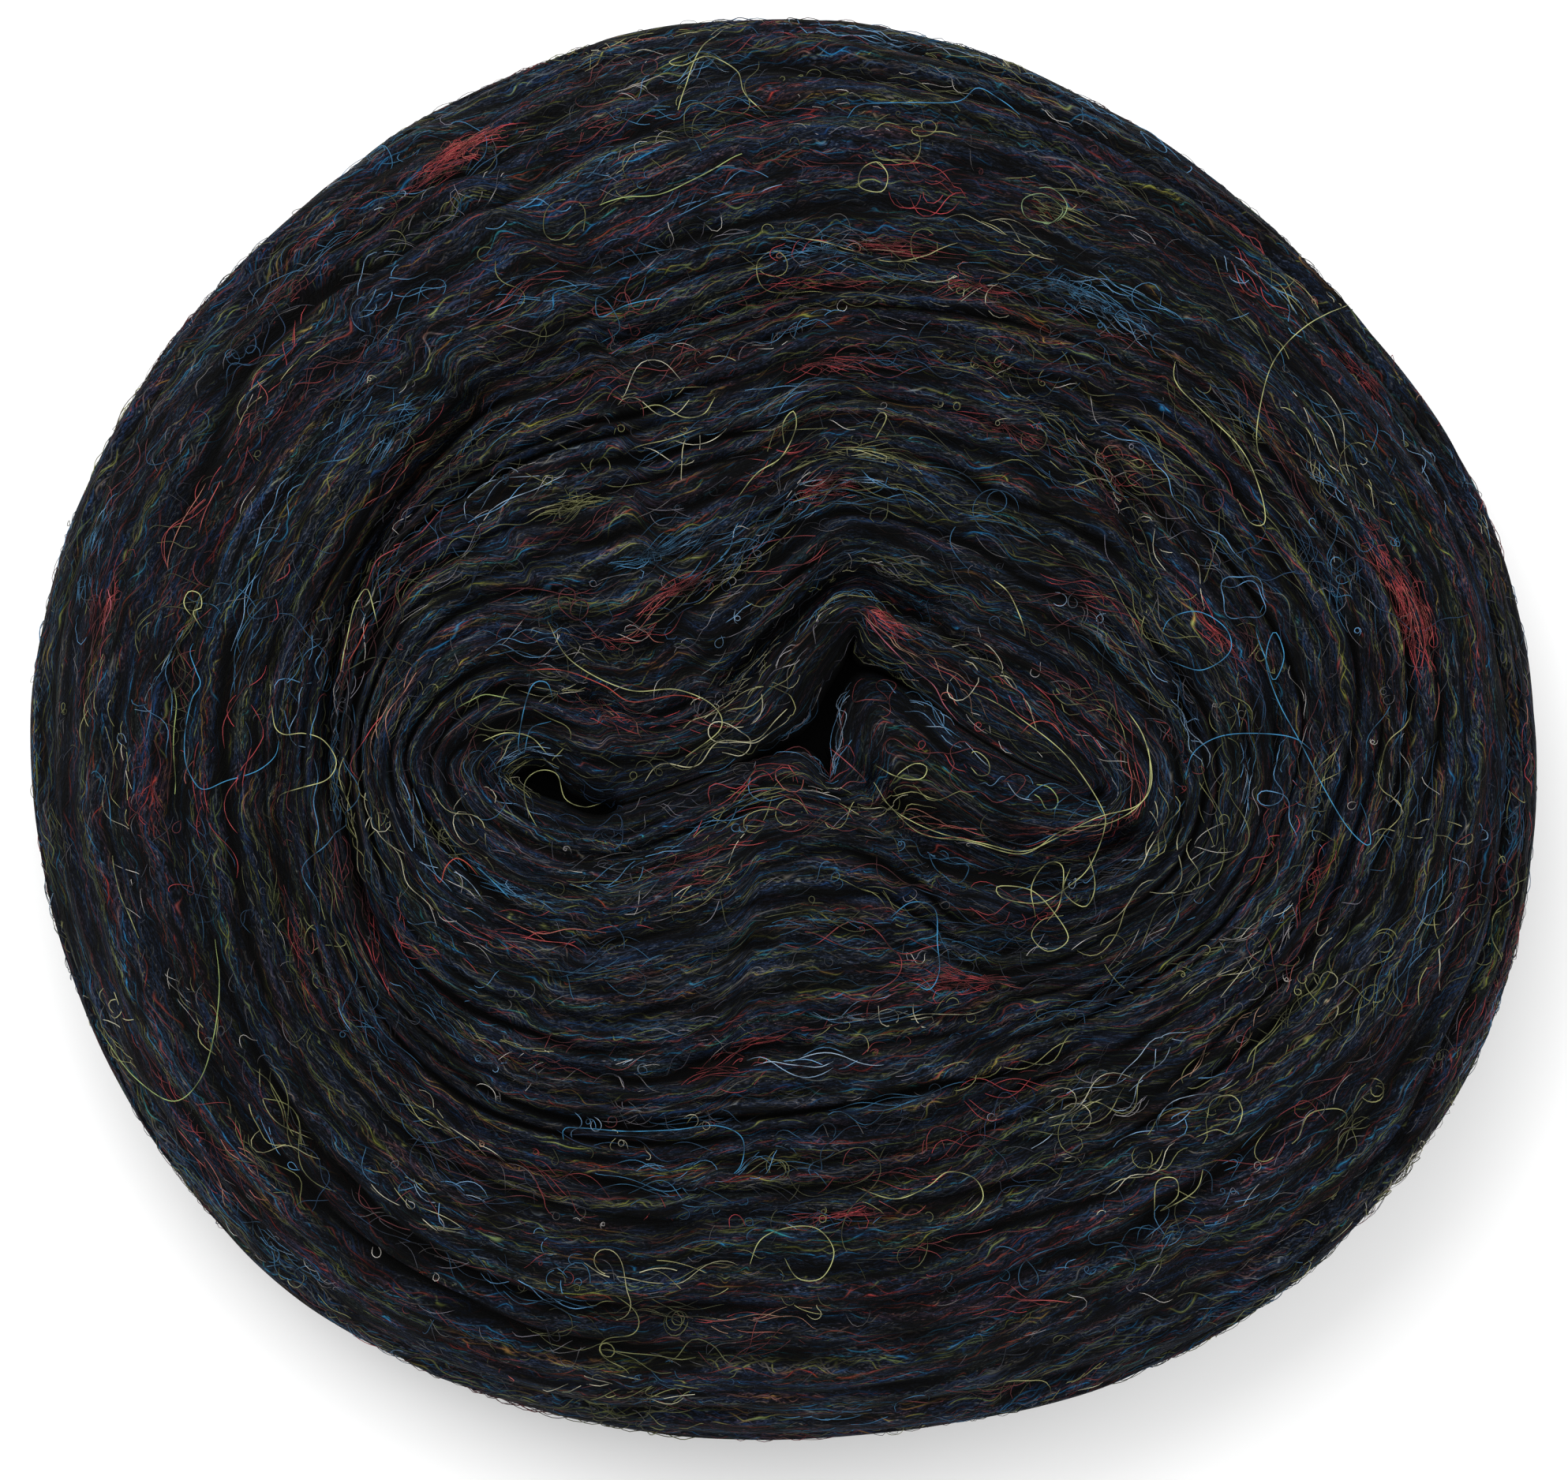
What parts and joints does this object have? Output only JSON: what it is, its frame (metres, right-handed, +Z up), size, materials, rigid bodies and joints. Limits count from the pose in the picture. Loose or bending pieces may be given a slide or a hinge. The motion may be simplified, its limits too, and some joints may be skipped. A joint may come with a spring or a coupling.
{
  "type": "yarn cake",
  "caption": "Flat wound plate of unspun wool roving with rounded sides and a collapsed, folded core; rests flat on its underside.",
  "frame": {"origin": "centre of the bounding box's bottom face, on the resting surface", "axes": "+Z up out of the wound face, +X along the longer side, to the right of the collapsed core as seen from above"},
  "size_m": [0.2006, 0.1896, 0.0468],
  "materials": {
    "charcoal_wool": "matt unspun wool, charcoal heathered with rust red, blue, olive yellow and grey fibres"
  },
  "bodies": {
    "root": {"wound_cake": "charcoal_wool"}
  },
  "joints": []
}
